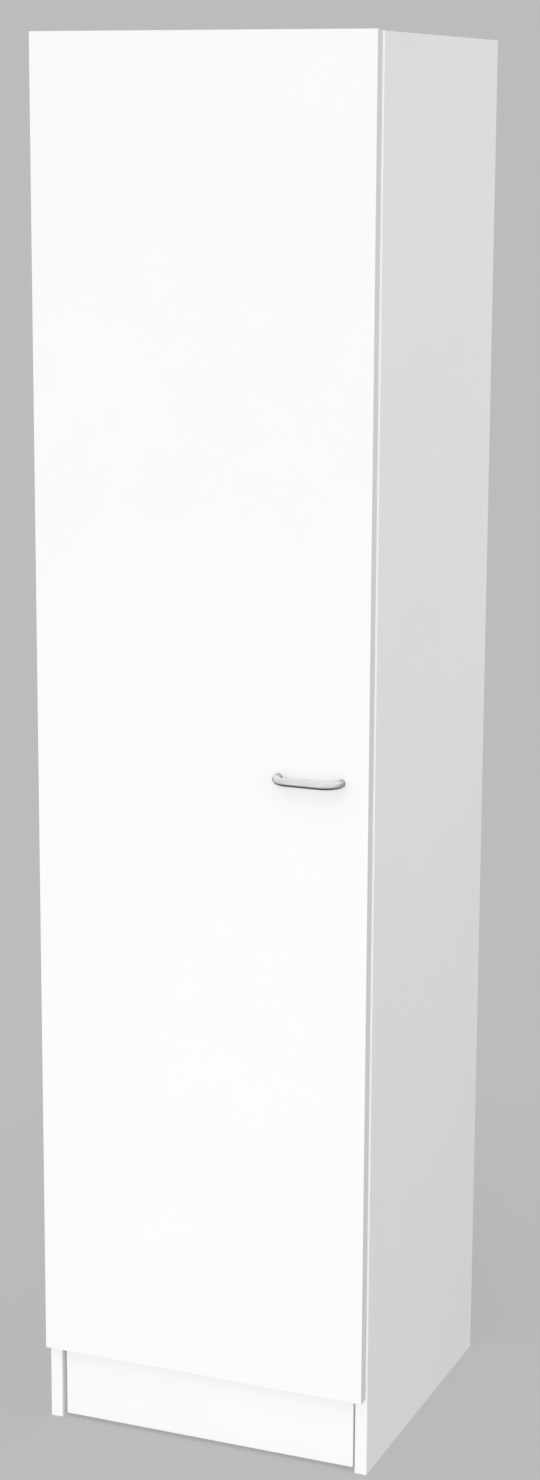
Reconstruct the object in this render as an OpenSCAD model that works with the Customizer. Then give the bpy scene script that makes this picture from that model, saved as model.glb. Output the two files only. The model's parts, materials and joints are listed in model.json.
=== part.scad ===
// Tall one-door cupboard: board carcass, shelves, cup hinges and a bow handle.
// Sizes are in millimetres. The origin lies on the floor under the middle of the whole
// cupboard, the door faces -Y and +Z is up.

/* [Carcass] */
// Width over the side panels
body_w = 500; // [460:5:600]
// Height of the side panels
body_h = 2000; // [1900:10:2200]
// Depth of the carcass without its door
carcass_d = 472; // [430:2:560]
// Thickness of the side panels, top, bottom and shelves
board_t = 18; // [16:1:22]
// Thickness of the edge bands
band_t = 1; // [0.6:0.2:2]
// Thickness of the back sheets
back_t = 3; // [2.5:0.5:4]
// From the carcass's rear edge to the back sheets
back_inset = 10; // [6:1:20]
// Depth of the grooves that hold the back sheets
groove_deep = 8; // [6:0.5:9]
// Height of the bottom panel's underside above the floor
plinth_h = 115; // [80:5:160]
// From the side panels' front edges back to the plinth
plinth_setback = 6; // [3:1:40]
// Gap at each end of the plinth and under it
plinth_gap = 5; // [2:1:8]

/* [Shelves] */
// Height of the fixed shelf's underside
fixed_shelf_z = 1048; // [1000:2:1100]
// From the side panels' front edges back to an adjustable shelf
shelf_setback = 20; // [10:1:40]
// Gap at each end of an adjustable shelf
shelf_end_gap = 1; // [0.8:0.1:2]
// Gap between an adjustable shelf and the back sheets
shelf_rear_gap = 2; // [1:1:10]
// Diameter of a shelf pin's hole
pin_hole_d = 5; // [4.5:0.1:5.5]
// Spacing of the pin holes
pin_pitch = 32; // [28:1:36]
// Spare holes above and below each shelf's pins
pin_steps = 1; // [0:1:1]

/* [Door] */
// Thickness of the door
door_t = 18; // [16:1:22]
// From a side panel's outer face in to the door's edge
door_reveal = 2; // [1:0.5:3]
// Gap between the closed door and the side panels' front edges
door_gap = 2; // [2:0.2:3]
// Height of the door's lower edge above the bottom panel's underside
door_rise = 1.5; // [0:0.5:6]
// Height of the door's top edge above the top of the side panels
door_over = 2; // [0:0.5:4]

/* [Handle] */
// Distance between the handle's screws
handle_pitch = 92; // [80:1:128]
// Diameter of the handle's bar
handle_d = 11; // [9:0.5:13]
// From the door's face to the middle of the bar
handle_reach = 27; // [25:0.5:34]
// From the door's free edge to the nearer handle screw
handle_edge = 38.5; // [30:0.5:60]
// Height of the handle above the floor
handle_z = 1014.5; // [1000:0.5:1024]
// Radius of the bend between a leg and the bar
handle_bend_r = 23; // [14:0.5:24]

/* [Hinges] */
// Diameter of the cup's bore in the door
cup_d = 35; // [34:0.5:36]
// Depth of the cup's bore
cup_deep = 14; // [13.8:0.1:14.6]
// From the door's edge to the cup's bore
cup_edge = 3; // [2.6:0.1:3.4]
// From the door's edge in to the hinge pin
pin_in = 6.3; // [6:0.1:6.4]
// From the door's inner face to the hinge pin
pin_deep = 11; // [10.8:0.1:11.2]
// Diameter of the hinge pin
pin_d = 2.2; // [2:0.1:2.4]
// From the door's top and bottom edges to the outer hinges
hinge_end = 100; // [80:5:120]
// From an inner hinge to the shelf next to it
hinge_shelf_gap = 67; // [62:1:74]

/* [Hidden] */
$fn = 48;

// Colours
board_white = [0.95, 0.95, 0.95];
band_white = [0.92, 0.92, 0.93];
sheet_white = [0.88, 0.88, 0.88];
plastic_white = [0.85, 0.85, 0.84];
zinc = [0.72, 0.73, 0.75];
satin_metal = [0.68, 0.69, 0.7];
beech = [0.8, 0.66, 0.46];

// Clearances
hole_clear = 0.05;   // around a fastener in its own hole
through_clear = 0.1; // around a screw that passes through a sheet
slack_clear = 0.3;   // around a screw whose place is adjusted
groove_clear = 0.2;  // on each face of a back sheet in its groove
end_clear = 0.5;     // past the end of a fastener in its hole
swing_clear = 0.8;   // between the open door's cups and the hinge arms
run_clear = 0.05;    // around a hinge pin in its arm
mouth_clear = 0.3;   // around a hinge arm's neck in the cup
tower_clear = 0.2;   // between a plate's tower and the arm's side walls
stack_clear = 0.1;   // between a plate and the arm over it
bumper_clear = 0.3;  // between the closed door's bumpers and the side panel
band_joint = 0.1;    // between two edge bands that meet at a corner
past = 1;            // how far a cut reaches past the face it opens

// Carcass places
inner_w = body_w - 2*board_t;
wall_x = inner_w/2;
back_y = carcass_d - back_inset - back_t;
front_reach = door_gap + door_t + handle_reach + handle_d/2;
mid_y = (carcass_d - front_reach)/2;
bottom_z = plinth_h;
top_z = body_h - board_t;
band_round = 0.8;    // share of an edge band's thickness that is rounded off
band_r = band_round*band_t;

// Back sheets and the strip that joins them behind the fixed shelf
groove_end_gap = 1;
back_joint_z = fixed_shelf_z + board_t/2;
strip_t = 0.8;
strip_lap = 7;
strip_web = 1;

// Adjustable shelves, spread evenly under and over the fixed shelf
shelves_each = 2;
lower_clear = (fixed_shelf_z - bottom_z - board_t - shelves_each*board_t)/(shelves_each + 1);
upper_clear = (top_z - fixed_shelf_z - board_t - shelves_each*board_t)/(shelves_each + 1);
function shelf_z(i) = i <= shelves_each
    ? bottom_z + board_t + i*lower_clear + (i - 1)*board_t
    : fixed_shelf_z + board_t + (i - shelves_each)*upper_clear + (i - shelves_each - 1)*board_t;
shelf_y1 = back_y - shelf_rear_gap;

// Rows of holes in the side panels
row_front = 37;
row_rear_in = 52;
pin_rows = [row_front, carcass_d - row_rear_in];
pin_peg = 9;
pin_nose = 9;
pin_nose_d = 7.5;
pin_collar_d = 9;
pin_collar_t = 0.6;
pin_drop = 3;

// Cam joints: a bolt in the side panel is gripped by a cam in the board
bolt_front = 60;
bolt_rear_in = 72;
bolt_rows = [bolt_front, carcass_d - bolt_rear_in];
dowel_off = 32;
dowel_rows = [bolt_front + dowel_off, carcass_d - bolt_rear_in - dowel_off];
joint_boards = [bottom_z, fixed_shelf_z, top_z];
cam_d = 15;
cam_in = 24;
cam_past_bolt = 4.5;
cam_deep = board_t/2 + cam_past_bolt;
cam_slot = 7.2;
cam_key_d = 3.2;
cam_key_deep = 2;
cover_d = 17;
cover_t = 1;
bolt_bore_d = 8;
bolt_thread_d = 4.9;
bolt_thread = 11;
bolt_collar_d = 7.6;
bolt_collar = 1.2;
bolt_neck_d = 4.4;
bolt_head_d = 6.4;
bolt_head = 3.5;
dowel_d = 8;
dowel_wall = 11;
dowel_board = 24;
dowel_hole = dowel_board + end_clear;
dowel_chamfer = 0.8;

// Nails through the back sheets
nail_d = 1.5;
nail_l = 22;
nail_head_d = 4;
nail_head = 0.8;
nail_side_in = 60;
nail_x = [-wall_x + nail_side_in, 0, wall_x - nail_side_in];
nail_rows = [bottom_z + board_t/2, top_z + board_t/2];

// Angle brackets
bracket_t = 2;
bracket_bend = 2;
wall_bracket_w = 32;
wall_bracket_leg = 30;
wall_bracket_in = 82;
wall_bracket_x = wall_x - wall_bracket_in;
wall_hole_d = 5.5;
wall_hole_drop = 17;
wall_screw_out = 22;
wall_screw_edge = 8;
wall_screw_dx = wall_bracket_w/2 - wall_screw_edge;
plinth_bracket_w = 40;
plinth_bracket_leg = 38;
plinth_bracket_in = 102;
plinth_bracket_x = [-wall_x + plinth_bracket_in, wall_x - plinth_bracket_in];
plinth_screw_near = 14;
plinth_screw_far = 30;
plinth_screw_out = [plinth_screw_near, plinth_screw_far];

// Wood screws
screw_d = 3.5;
screw_l = 13;
screw_head_d = 7;
screw_head = 2;
head_round = 0.7;    // share of a screw head's height that is rounded off

// Door places
door_x0 = -body_w/2 + door_reveal;
door_x1 = body_w/2 - door_reveal;
door_y0 = -door_gap - door_t;
door_y1 = -door_gap;
door_z0 = bottom_z + door_rise;
door_z1 = body_h + door_over;
handle_x = [door_x1 - handle_edge - handle_pitch, door_x1 - handle_edge];
handle_screw_d = 4;
handle_screw_in = 9;
handle_screw_head_d = 8.5;
handle_screw_head = 2.2;
bumper_d = 10;
bumper_t = door_gap - bumper_clear;
bumper_in = 7;
bumper_end = 60;

// Hinges: every place is taken from the pin, x towards the inside and y to the rear
hinge_x = door_x0 + pin_in;
hinge_y = door_y1 - pin_deep;
hinge_z = [
    door_z0 + hinge_end,
    shelf_z(2) + board_t + hinge_shelf_gap,
    shelf_z(3) - hinge_shelf_gap,
    door_z1 - hinge_end
];
wall_dx = board_t - door_reveal - pin_in;
front_dy = door_gap + pin_deep;
plate_t = 3;
flange_t = 1;
arm_dx = max(wall_dx + plate_t + stack_clear, pin_deep + flange_t + swing_clear);
arm_t = 2.6;
arm_web_t = 1.3;
arm_side_t = 1.3;
arm_h = 8.9;
arm_web_dx = arm_dx + arm_h;
neck_w = 6.4;
neck_below = 1.5;
neck_above = 0.7;
eye_d = 4.2;
arm_w = 14;
arm_front = 4;
arm_back = 62;
arm_front_dy = front_dy + arm_front;
arm_back_dy = front_dy + arm_back;
plate_screw_dy = front_dy + row_front;
plate_screw_pitch = 32;
plate_screw_dz = plate_screw_pitch/2;
plate_wing = 12;
plate_boss_d = 14;
plate_screw_d = 4.9;
plate_screw_l = 12;
plate_screw_head_d = 7.6;
plate_screw_head = 2;
plate_front = 17;
plate_back = 61;
plate_front_dy = front_dy + plate_front;
plate_back_dy = front_dy + plate_back;
tower_front = 30;
tower_back = 58;
tower_front_dy = front_dy + tower_front;
tower_back_dy = front_dy + tower_back;
fixing_in = 50;
fixing_dy = front_dy + fixing_in;
fixing_d = 4;
fixing_l = 6;
side_screw_in = 22;
side_screw_dy = front_dy + side_screw_in;
side_screw_d = 5;
side_screw_proud = 0.6;
cup_clear = 0.05;
cup_dx = cup_edge + cup_d/2 - pin_in;
cup_wall = 1.85;
cup_floor = 2;
mouth_w = neck_w + 2*mouth_clear;
mouth_left = eye_d/2 + mouth_clear;
mouth_right = arm_dx + arm_t + 2*mouth_clear;
mouth_deep = eye_d/2 + mouth_clear;
cheek_left = mouth_left + mouth_clear;
cheek_w = 5;
cheek_right = 4.2;
cheek_top = 2.6;
pin_l = 2*floor(sqrt(pow(cup_d/2 - cup_clear, 2) - pow(cup_dx + pin_d/2, 2)));
flange_lip = 1.5;
flange_clip = 5;
ear_out = 9.5;
ear_pitch = 45;
ear_dx = cup_dx + ear_out;
ear_dz = ear_pitch/2;
ear_r = 6;
ear_half = 5.5;
cup_screw_l = 12;
cup_screw_head = 1.2;

// A block between two corners
module block(low, high) translate(low) cube(high - low);

// Points of an arc about a centre
function arc(centre, r, from, to, n = 6) =
    [for (i = [0:n]) centre + r*[cos(from + (to - from)*i/n), sin(from + (to - from)*i/n)]];
function swap(points) = [for (p = points) [p[1], p[0]]];

// Cross-section of an edge band: w wide, its outer side on y = 0 with rounded corners
function band_points(w) = concat(
    arc([band_r, band_r], band_r, 180, 270),
    arc([w - band_r, band_r], band_r, 270, 360),
    [[w, band_t], [0, band_t]]
);

// Extrudes a (y, z) outline along X
module along_x(x, length) translate([x, 0, 0]) rotate([90, 0, 90]) linear_extrude(length) children();

// A hole along Z, open at both ends
module hole_z(x, y, z, d, length) translate([x, y, z]) cylinder(d = d, h = length);

// Puts the carcass's own coordinates into the cupboard's frame
module placed() translate([0, -mid_y, 0]) children();

// Both sides of the cupboard
module both_sides() for (s = [0, 1]) mirror([s, 0, 0]) children();

// Side panels, drawn with the outer face on x = 0
module wall_hole(y, z, d, deep)
    translate([board_t - deep, y, z]) rotate([0, 90, 0]) cylinder(d = d, h = deep + past);

module side_panel_holes() {
    for (z = joint_boards) {
        for (y = bolt_rows)
            wall_hole(y, z + board_t/2, bolt_thread_d + 2*hole_clear, bolt_thread + end_clear);
        for (y = dowel_rows)
            wall_hole(y, z + board_t/2, dowel_d + 2*hole_clear, dowel_wall + end_clear);
    }
    for (i = [1:4], k = [-pin_steps:pin_steps], y = pin_rows)
        wall_hole(y, shelf_z(i) - pin_drop + k*pin_pitch, pin_hole_d, pin_peg + end_clear);
}

module side_panel_blank() {
    difference() {
        block([0, band_t, 0], [board_t, carcass_d, body_h]);
        block(
            [board_t - groove_deep, back_y - groove_clear, -past],
            [board_t + past, back_y + back_t + groove_clear, body_h + past]
        );
        side_panel_holes();
    }
}

module side_panel_left() color(board_white) placed() translate([-body_w/2, 0, 0])
    difference() {
        side_panel_blank();
        for (z = hinge_z, dz = [-plate_screw_dz, plate_screw_dz])
            wall_hole(
                row_front,
                z + dz,
                plate_screw_d + 2*hole_clear,
                plate_screw_l - plate_t + end_clear
            );
    }

module side_panel_right() color(board_white) placed() mirror([1, 0, 0]) translate([-body_w/2, 0, 0])
    side_panel_blank();

module side_edge_band(s) color(band_white) placed() mirror([s, 0, 0]) translate([-body_w/2, 0, 0])
    linear_extrude(body_h) polygon(band_points(board_t));

// A board held between the side panels by bolts, cams and dowels
module joined_board(z, rear_y) {
    difference() {
        block([-wall_x, band_t, z], [wall_x, rear_y, z + board_t]);
        both_sides() {
            for (y = bolt_rows) {
                hole_z(wall_x - cam_in, y, z - past, cam_d, cam_deep + past);
                translate([wall_x - cam_in, y, z + board_t/2])
                    rotate([0, 90, 0]) cylinder(d = bolt_bore_d, h = cam_in + past);
            }
            for (y = dowel_rows)
                translate([wall_x - dowel_hole, y, z + board_t/2])
                    rotate([0, 90, 0]) cylinder(d = dowel_d + 2*hole_clear, h = dowel_hole + past);
        }
    }
}

module nail_holes(z)
    for (x = nail_x)
        translate([x, back_y - nail_l, z]) rotate([-90, 0, 0])
            cylinder(d = nail_d + 2*hole_clear, h = nail_l + back_t + past, $fn = 16);

module top_panel() color(board_white) placed()
    difference() {
        joined_board(top_z, back_y);
        nail_holes(top_z + board_t/2);
        wall_bracket_holes();
    }

module bottom_panel() color(board_white) placed()
    difference() {
        joined_board(bottom_z, back_y);
        nail_holes(bottom_z + board_t/2);
        for (x = plinth_bracket_x, y = plinth_screw_out)
            translate([x, plinth_setback + board_t + y, bottom_z])
                screw_hole(screw_l - bracket_t);
    }

module fixed_shelf() color(board_white) placed() joined_board(fixed_shelf_z, back_y - strip_t);

module panel_edge_bands() color(band_white) placed()
    for (z = joint_boards)
        along_x(-wall_x, inner_w) translate([0, z]) polygon(swap(band_points(board_t)));

// Adjustable shelves
module adjustable_shelf(i) color(board_white) placed()
    block(
        [-wall_x + shelf_end_gap, shelf_setback + band_t, shelf_z(i)],
        [wall_x - shelf_end_gap, shelf_y1, shelf_z(i) + board_t]
    );

module shelf_edge_bands() color(band_white) placed()
    for (i = [1:4])
        along_x(-wall_x + shelf_end_gap, inner_w - 2*shelf_end_gap)
            translate([shelf_setback, shelf_z(i)]) polygon(swap(band_points(board_t)));

// A shelf pin, its peg along -X and its flat seat on top
module shelf_pin()
    rotate([0, 90, 0]) {
        translate([0, 0, -pin_peg]) cylinder(d = pin_hole_d - 2*hole_clear, h = pin_peg);
        intersection() {
            union() {
                cylinder(d = pin_collar_d, h = pin_collar_t);
                cylinder(d = pin_nose_d, h = pin_nose);
            }
            block(
                [-pin_drop, -pin_collar_d, -past],
                [pin_collar_d, pin_collar_d, pin_nose + past]
            );
        }
    }

module shelf_pins() color(plastic_white) placed()
    both_sides()
        for (i = [1:4], y = pin_rows)
            translate([-wall_x, y, shelf_z(i) - pin_drop]) shelf_pin();

// Plinth
module plinth_panel() color(board_white) placed()
    difference() {
        block(
            [-wall_x + plinth_gap + band_t, plinth_setback, plinth_gap],
            [wall_x - plinth_gap - band_t, plinth_setback + board_t, bottom_z]
        );
        for (x = plinth_bracket_x, z = plinth_screw_out)
            translate([x, plinth_setback + board_t, bottom_z - z])
                rotate([90, 0, 0]) screw_hole(screw_l - bracket_t);
    }

module plinth_end_bands() color(band_white) placed()
    both_sides()
        translate([-wall_x + plinth_gap, plinth_setback, plinth_gap])
            linear_extrude(bottom_z - plinth_gap) polygon(swap(band_points(board_t)));

// Back sheets and their joint strip
module back_sheet(z0, z1)
    block(
        [-wall_x - groove_deep + groove_end_gap, back_y, z0],
        [wall_x + groove_deep - groove_end_gap, back_y + back_t, z1]
    );

module sheet_nail_holes(z)
    for (x = nail_x)
        translate([x, back_y - past, z]) rotate([-90, 0, 0])
            cylinder(d = nail_d + 2*hole_clear, h = back_t + 2*past, $fn = 16);

module back_panel_lower() color(sheet_white) placed()
    difference() {
        back_sheet(bottom_z, back_joint_z - strip_web/2);
        sheet_nail_holes(nail_rows[0]);
    }

module back_panel_upper() color(sheet_white) placed()
    difference() {
        back_sheet(back_joint_z + strip_web/2, body_h);
        sheet_nail_holes(nail_rows[1]);
        for (s = [-1, 1])
            translate([s*wall_bracket_x, back_y - past, top_z - wall_hole_drop])
                rotate([-90, 0, 0]) cylinder(d = wall_hole_d, h = back_t + 2*past);
    }

module back_joint_strip() color(plastic_white) placed()
    difference() {
        block(
            [-wall_x, back_y - strip_t, back_joint_z - strip_lap],
            [wall_x, back_y + back_t + strip_t, back_joint_z + strip_lap]
        );
        for (dz = [strip_web/2, -strip_web/2 - strip_lap])
            translate([-wall_x - past, back_y, back_joint_z + dz])
                cube([inner_w + 2*past, back_t, strip_lap]);
    }

module back_nails() color(zinc) placed()
    for (x = nail_x, z = nail_rows)
        translate([x, back_y + back_t, z]) rotate([-90, 0, 0]) {
            cylinder(d = nail_head_d, h = nail_head, $fn = 24);
            translate([0, 0, -nail_l]) cylinder(d = nail_d, h = nail_l, $fn = 16);
        }

// Joint hardware
module cam_lock()
    difference() {
        cylinder(d = cam_d - 2*hole_clear, h = cam_deep - hole_clear);
        translate([-cam_slot/2, -cam_slot/2, board_t/2 - cam_slot/2])
            cube([cam_slot/2 + cam_d, cam_slot, cam_slot]);
        translate([0, 0, -past]) cylinder(d = cam_key_d, h = cam_key_deep + past);
    }

module cam_locks() color(zinc) placed()
    both_sides()
        for (z = joint_boards, y = bolt_rows)
            translate([wall_x - cam_in, y, z]) cam_lock();

module cam_covers() color(plastic_white) placed()
    both_sides()
        for (z = [fixed_shelf_z, top_z], y = bolt_rows)
            translate([wall_x - cam_in, y, z]) {
                translate([0, 0, -cover_t]) cylinder(d = cover_d, h = cover_t);
                cylinder(d = cam_key_d - 2*hole_clear, h = cam_key_deep - end_clear);
            }

// A bolt along X: its thread runs into the side panel at x > 0
module cam_bolt()
    rotate([0, 90, 0]) {
        cylinder(d = bolt_thread_d, h = bolt_thread);
        translate([0, 0, -bolt_collar]) cylinder(d = bolt_collar_d, h = bolt_collar);
        translate([0, 0, -cam_in]) cylinder(d = bolt_neck_d, h = cam_in);
        translate([0, 0, -cam_in - bolt_head/2]) cylinder(d = bolt_head_d, h = bolt_head);
    }

module cam_bolts() color(zinc) placed()
    both_sides()
        for (z = joint_boards, y = bolt_rows)
            translate([wall_x, y, z + board_t/2]) cam_bolt();

module wood_dowel()
    rotate([0, 90, 0]) translate([0, 0, -dowel_board]) {
        cylinder(d1 = dowel_d - 2*dowel_chamfer, d2 = dowel_d, h = dowel_chamfer);
        translate([0, 0, dowel_chamfer])
            cylinder(d = dowel_d, h = dowel_board + dowel_wall - 2*dowel_chamfer);
        translate([0, 0, dowel_board + dowel_wall - dowel_chamfer])
            cylinder(d1 = dowel_d, d2 = dowel_d - 2*dowel_chamfer, h = dowel_chamfer);
    }

module wood_dowels() color(beech) placed()
    both_sides()
        for (z = joint_boards, y = dowel_rows)
            translate([wall_x, y, z + board_t/2]) wood_dowel();

// A pan-head screw, its head's underside on z = 0 and its shank along -Z
module screw(d, length, head_d, head) {
    round_r = head*head_round;
    rotate_extrude($fn = 32)
        polygon(concat(
            [[0, -length], [d/4, -length], [d/2, -length + d], [d/2, 0], [head_d/2, 0]],
            arc([head_d/2 - round_r, head - round_r], round_r, 0, 90, 4),
            [[0, head]]
        ));
}

// A pilot hole along +Z for a wood screw
module screw_hole(deep)
    translate([0, 0, -past]) cylinder(d = screw_d + 2*hole_clear, h = deep + end_clear + past, $fn = 24);

// A bent angle bracket: one leg along x, the other along y, corner at the origin
module angle_bracket(leg, width) {
    outer = bracket_bend + bracket_t;
    bend = [outer, outer];
    translate([0, 0, -width/2]) linear_extrude(width)
        polygon(concat(
            [[leg, bracket_t], [leg, 0]],
            arc(bend, outer, 270, 180),
            [[0, leg], [bracket_t, leg]],
            arc(bend, bracket_bend, 180, 270)
        ));
}

// Wall brackets under the top panel, against the back sheet
module wall_bracket(s) color(zinc) placed()
    difference() {
        translate([s*wall_bracket_x, back_y, top_z]) rotate([0, 90, 0]) rotate([0, 0, 180])
            mirror([1, 0, 0]) angle_bracket(wall_bracket_leg, wall_bracket_w);
        translate([s*wall_bracket_x, back_y - bracket_t - past, top_z - wall_hole_drop])
            rotate([-90, 0, 0]) cylinder(d = wall_hole_d, h = bracket_t + 2*past);
        for (dx = [-wall_screw_dx, wall_screw_dx])
            translate([s*wall_bracket_x + dx, back_y - wall_screw_out, top_z - bracket_t - past])
                cylinder(d = screw_d + 2*through_clear, h = bracket_t + 2*past, $fn = 24);
    }

module wall_bracket_holes()
    for (s = [-1, 1], dx = [-wall_screw_dx, wall_screw_dx])
        translate([s*wall_bracket_x + dx, back_y - wall_screw_out, top_z]) screw_hole(screw_l - bracket_t);

module wall_bracket_screws() color(zinc) placed()
    for (s = [-1, 1], dx = [-wall_screw_dx, wall_screw_dx])
        translate([s*wall_bracket_x + dx, back_y - wall_screw_out, top_z - bracket_t])
            mirror([0, 0, 1]) screw(screw_d, screw_l, screw_head_d, screw_head);

// Plinth brackets in the corner of the plinth and the bottom panel
module plinth_bracket(x) color(zinc) placed()
    difference() {
        translate([x, plinth_setback + board_t, bottom_z]) rotate([90, 0, 90])
            mirror([0, 1, 0]) angle_bracket(plinth_bracket_leg, plinth_bracket_w);
        for (out = plinth_screw_out) {
            translate([x, plinth_setback + board_t + out, bottom_z - bracket_t - past])
                cylinder(d = screw_d + 2*through_clear, h = bracket_t + 2*past, $fn = 24);
            translate([x, plinth_setback + board_t - past, bottom_z - out])
                rotate([-90, 0, 0])
                    cylinder(d = screw_d + 2*through_clear, h = bracket_t + 2*past, $fn = 24);
        }
    }

module plinth_screws() color(zinc) placed()
    for (x = plinth_bracket_x, out = plinth_screw_out) {
        translate([x, plinth_setback + board_t + out, bottom_z - bracket_t])
            mirror([0, 0, 1]) screw(screw_d, screw_l, screw_head_d, screw_head);
        translate([x, plinth_setback + board_t + bracket_t, bottom_z - out])
            rotate([-90, 0, 0]) screw(screw_d, screw_l, screw_head_d, screw_head);
    }

// Hinges, drawn about their pin
module at_hinge(i) placed() translate([hinge_x, hinge_y, hinge_z[i - 1]]) children();

// Runs along +X from the side panel's inner face
module from_wall(dx, dy, dz) translate([dx, dy, dz]) rotate([0, 90, 0]) children();

module hinge_plate(i) color(zinc) at_hinge(i)
    difference() {
        union() {
            block([wall_dx, plate_front_dy, -arm_w/2], [wall_dx + plate_t, plate_back_dy, arm_w/2]);
            block(
                [wall_dx, plate_screw_dy - plate_wing/2, -plate_screw_dz],
                [wall_dx + plate_t, plate_screw_dy + plate_wing/2, plate_screw_dz]
            );
            for (dz = [-plate_screw_dz, plate_screw_dz])
                from_wall(wall_dx, plate_screw_dy, dz) cylinder(d = plate_boss_d, h = plate_t);
            block(
                [wall_dx, tower_front_dy, -arm_w/2 + arm_side_t + tower_clear],
                [arm_web_dx - arm_web_t, tower_back_dy, arm_w/2 - arm_side_t - tower_clear]
            );
        }
        for (dz = [-plate_screw_dz, plate_screw_dz])
            from_wall(wall_dx - past, plate_screw_dy, dz)
                cylinder(d = plate_screw_d + 2*through_clear, h = plate_t + 2*past);
        from_wall(arm_web_dx - arm_web_t - fixing_l - end_clear, fixing_dy, 0)
            cylinder(d = fixing_d + 2*hole_clear, h = fixing_l + end_clear + past);
    }

// Outline of the arm's neck: down from the channel, round into the cup and to the pin
neck_bend_out = 1.5;
neck_bend_in = 0.8;
neck_corner = arm_dx + arm_t;
slope_lead = 1;
slope_run = 11;
slope_overlap = 4;
slope_shift = 2.5;
slope_y0 = arm_front_dy - slope_lead;
slope_y1 = slope_y0 + slope_run;
web_inside = arm_web_dx - arm_web_t;
web_slope_y = slope_y1 + slope_shift;
function neck_outline() = concat(
    [[0, -neck_below]],
    arc([neck_corner - neck_bend_out, -neck_below + neck_bend_out], neck_bend_out, 270, 360, 4),
    [[neck_corner, slope_y0], [arm_web_dx, slope_y1], [arm_web_dx, slope_y1 + slope_overlap]],
    [[web_inside, slope_y1 + slope_overlap], [web_inside, web_slope_y], [arm_dx, arm_front_dy]],
    arc([arm_dx - neck_bend_in, neck_above + neck_bend_in], neck_bend_in, 0, -90, 4),
    [[0, neck_above]]
);

// Outline of the channel's side walls, sloped at the front as the neck is
channel_lead = 3;
channel_y0 = arm_front_dy + channel_lead;
channel_x0 = neck_corner + (arm_web_dx - neck_corner)*(channel_y0 - slope_y0)/slope_run;
function channel_outline() = [
    [arm_dx + stack_clear, channel_y0],
    [channel_x0, channel_y0],
    [arm_web_dx, slope_y1],
    [arm_web_dx, arm_back_dy],
    [arm_dx + stack_clear, arm_back_dy]
];

function channel_inside() = [
    [arm_dx - past, arm_front_dy],
    [arm_dx, arm_front_dy],
    [web_inside, web_slope_y],
    [web_inside, arm_back_dy + past],
    [arm_dx - past, arm_back_dy + past]
];

module hinge_arm(i) color(zinc) at_hinge(i)
    difference() {
        union() {
            linear_extrude(neck_w, center = true) polygon(neck_outline());
            cylinder(d = eye_d, h = neck_w, center = true);
            difference() {
                linear_extrude(arm_w, center = true) polygon(channel_outline());
                linear_extrude(arm_w - 2*arm_side_t, center = true) polygon(channel_inside());
            }
        }
        cylinder(d = pin_d + 2*run_clear, h = neck_w + 2*past, center = true);
        from_wall(arm_dx, fixing_dy, 0) cylinder(d = fixing_d + 2*slack_clear, h = arm_web_dx);
        from_wall(arm_dx, side_screw_dy, 0) cylinder(d = side_screw_d + 2*hole_clear, h = arm_web_dx);
    }

module hinge_plate_screws() color(zinc)
    for (i = [1:4], dz = [-plate_screw_dz, plate_screw_dz])
        at_hinge(i) from_wall(wall_dx + plate_t, plate_screw_dy, dz)
            screw(plate_screw_d, plate_screw_l, plate_screw_head_d, plate_screw_head);

module hinge_fixing_screws() color(zinc)
    for (i = [1:4])
        at_hinge(i) from_wall(arm_web_dx, fixing_dy, 0)
            screw(fixing_d, fixing_l, plate_screw_head_d, plate_screw_head);

module hinge_side_screws() color(zinc)
    for (i = [1:4])
        at_hinge(i) from_wall(wall_dx + plate_t, side_screw_dy, 0)
            cylinder(d = side_screw_d, h = arm_web_dx - wall_dx - plate_t + side_screw_proud);

// The cup, sunk in the door: a shell with two cheeks that hold the pin
module from_door(dx, dz) translate([dx, pin_deep, dz]) rotate([90, 0, 0]) children();

module cup_plan(r, deep) from_door(cup_dx, 0) cylinder(r = r, h = deep);

module cup_flange()
    difference() {
        translate([0, flange_t, 0]) {
            cup_plan(cup_d/2 + flange_lip, flange_t);
            for (dz = [-ear_dz, ear_dz])
                from_door(ear_dx, dz) cylinder(r = ear_r, h = flange_t);
            block([ear_dx - ear_half, pin_deep - flange_t, -ear_dz], [ear_dx + ear_half, pin_deep, ear_dz]);
        }
        block(
            [cup_dx - cup_d, pin_deep - past, -cup_d],
            [flange_clip - pin_in, pin_deep + flange_t + past, cup_d]
        );
    }

module hinge_cup(i) color(zinc) at_hinge(i)
    difference() {
        union() {
            difference() {
                union() {
                    cup_plan(cup_d/2 - cup_clear, cup_deep - cup_clear);
                    cup_flange();
                }
                translate([0, flange_t + past, 0])
                    cup_plan(cup_d/2 - cup_wall, cup_deep - cup_floor + flange_t + past);
            }
            intersection() {
                cup_plan(cup_d/2 - cup_clear, cup_deep - cup_clear);
                block(
                    [-cheek_left, pin_deep - cup_deep, -mouth_w/2 - cheek_w],
                    [cheek_right, cheek_top, mouth_w/2 + cheek_w]
                );
            }
        }
        block([-mouth_left, -mouth_deep, -mouth_w/2], [mouth_right, pin_deep + flange_t + past, mouth_w/2]);
        cylinder(d = pin_d + hole_clear, h = cup_d, center = true);
        for (dz = [-ear_dz, ear_dz])
            translate([0, flange_t + past, 0]) from_door(ear_dx, dz)
                cylinder(d = screw_d + 2*through_clear, h = flange_t + 2*past, $fn = 24);
    }

module hinge_pins() color(satin_metal)
    for (i = [1:4])
        at_hinge(i) cylinder(d = pin_d, h = pin_l, center = true);

module hinge_cup_screws() color(zinc)
    for (i = [1:4], dz = [-ear_dz, ear_dz])
        at_hinge(i) translate([ear_dx, pin_deep + flange_t, dz]) rotate([-90, 0, 0])
            screw(screw_d, cup_screw_l, screw_head_d, cup_screw_head);

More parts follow.
